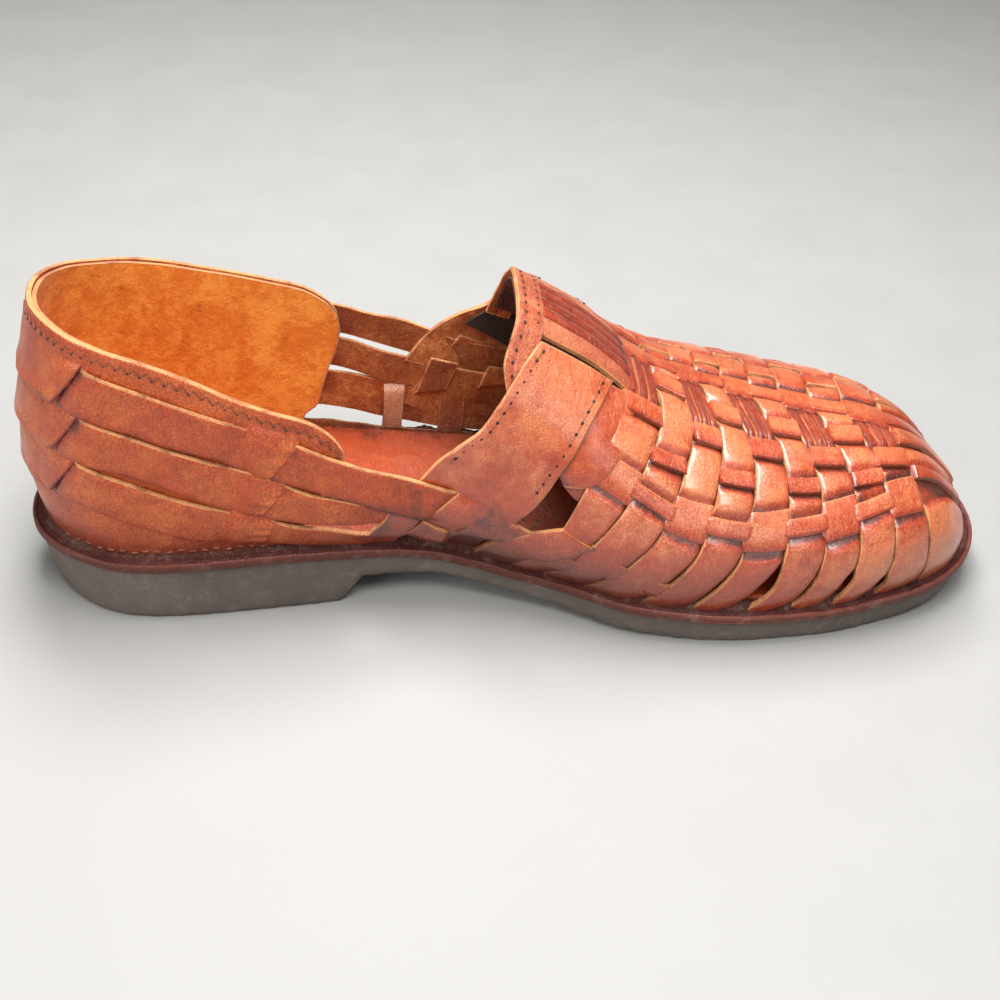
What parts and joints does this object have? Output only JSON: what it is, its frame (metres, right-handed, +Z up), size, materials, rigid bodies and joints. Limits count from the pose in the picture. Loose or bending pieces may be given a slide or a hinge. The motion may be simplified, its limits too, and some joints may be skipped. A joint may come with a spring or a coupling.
{
  "type": "huarache sandal",
  "caption": "Left woven leather slip-on sandal: latticed vamp, strapped open waist, stiff heel counter, fluted instep tab with elastic gores, low rubber heel.",
  "frame": {"origin": "centre of the bounding box in plan, on the floor the shoe stands on", "axes": "+X from heel to toe, +Y to the lateral (outer, left) side, +Z up"},
  "size_m": [0.288, 0.1042, 0.0936],
  "materials": {
    "outsole": "matt warm grey moulded rubber",
    "midsole": "burgundy dyed leather edge",
    "insole": "red-brown polished leather",
    "upper": "burnished orange-tan leather, pale cut edges",
    "instep_tab": "burnished red-tan leather, fluted",
    "gore_medial": "dark woven elastic",
    "gore_lateral": "dark woven elastic"
  },
  "bodies": {
    "root": {"outsole": "outsole", "midsole": "midsole", "insole": "insole", "upper": "upper", "instep_tab": "instep_tab", "gore_medial": "gore_medial", "gore_lateral": "gore_lateral"}
  },
  "joints": []
}
